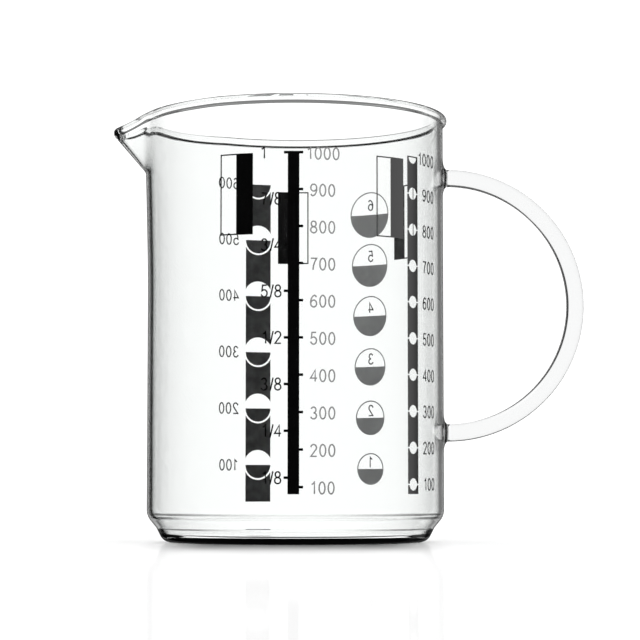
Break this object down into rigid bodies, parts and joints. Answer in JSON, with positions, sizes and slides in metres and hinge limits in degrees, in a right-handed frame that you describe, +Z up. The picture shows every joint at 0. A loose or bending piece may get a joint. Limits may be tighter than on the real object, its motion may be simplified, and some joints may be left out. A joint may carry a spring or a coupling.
{
  "type": "measuring jug",
  "caption": "Clear glass measuring jug with a stepped foot, beaded rim, pulled spout, bent glass rod handle and black enamel scales for litres, sugar, flour and cups.",
  "frame": {"origin": "centre of the flat face under the foot, on the jug's axis and on the table", "axes": "+Z up along the jug's axis, +X towards the handle, -X towards the spout, -Y towards the litre scale"},
  "size_m": [0.1692, 0.1088, 0.1525],
  "materials": {
    "clear_glass": "clear, fire-polished",
    "black_enamel": "fired enamel print, glossy",
    "grey_enamel": "thin fired enamel print, glossy"
  },
  "bodies": {
    "root": {"glass_vessel": "clear_glass", "handle_rod": "clear_glass", "upper_handle_weld": "clear_glass", "lower_handle_weld": "clear_glass", "litre_scale_bar": "black_enamel", "litre_title_panel": "black_enamel", "sugar_scale_bar": "black_enamel", "sugar_title_panel": "black_enamel", "flour_scale_bar": "black_enamel", "flour_title_panel": "black_enamel", "cup_title_panel": "black_enamel", "cup_mark_1": "grey_enamel", "cup_mark_2": "grey_enamel", "cup_mark_3": "grey_enamel", "cup_mark_4": "grey_enamel", "cup_mark_5": "grey_enamel", "cup_mark_6": "grey_enamel"}
  },
  "joints": []
}
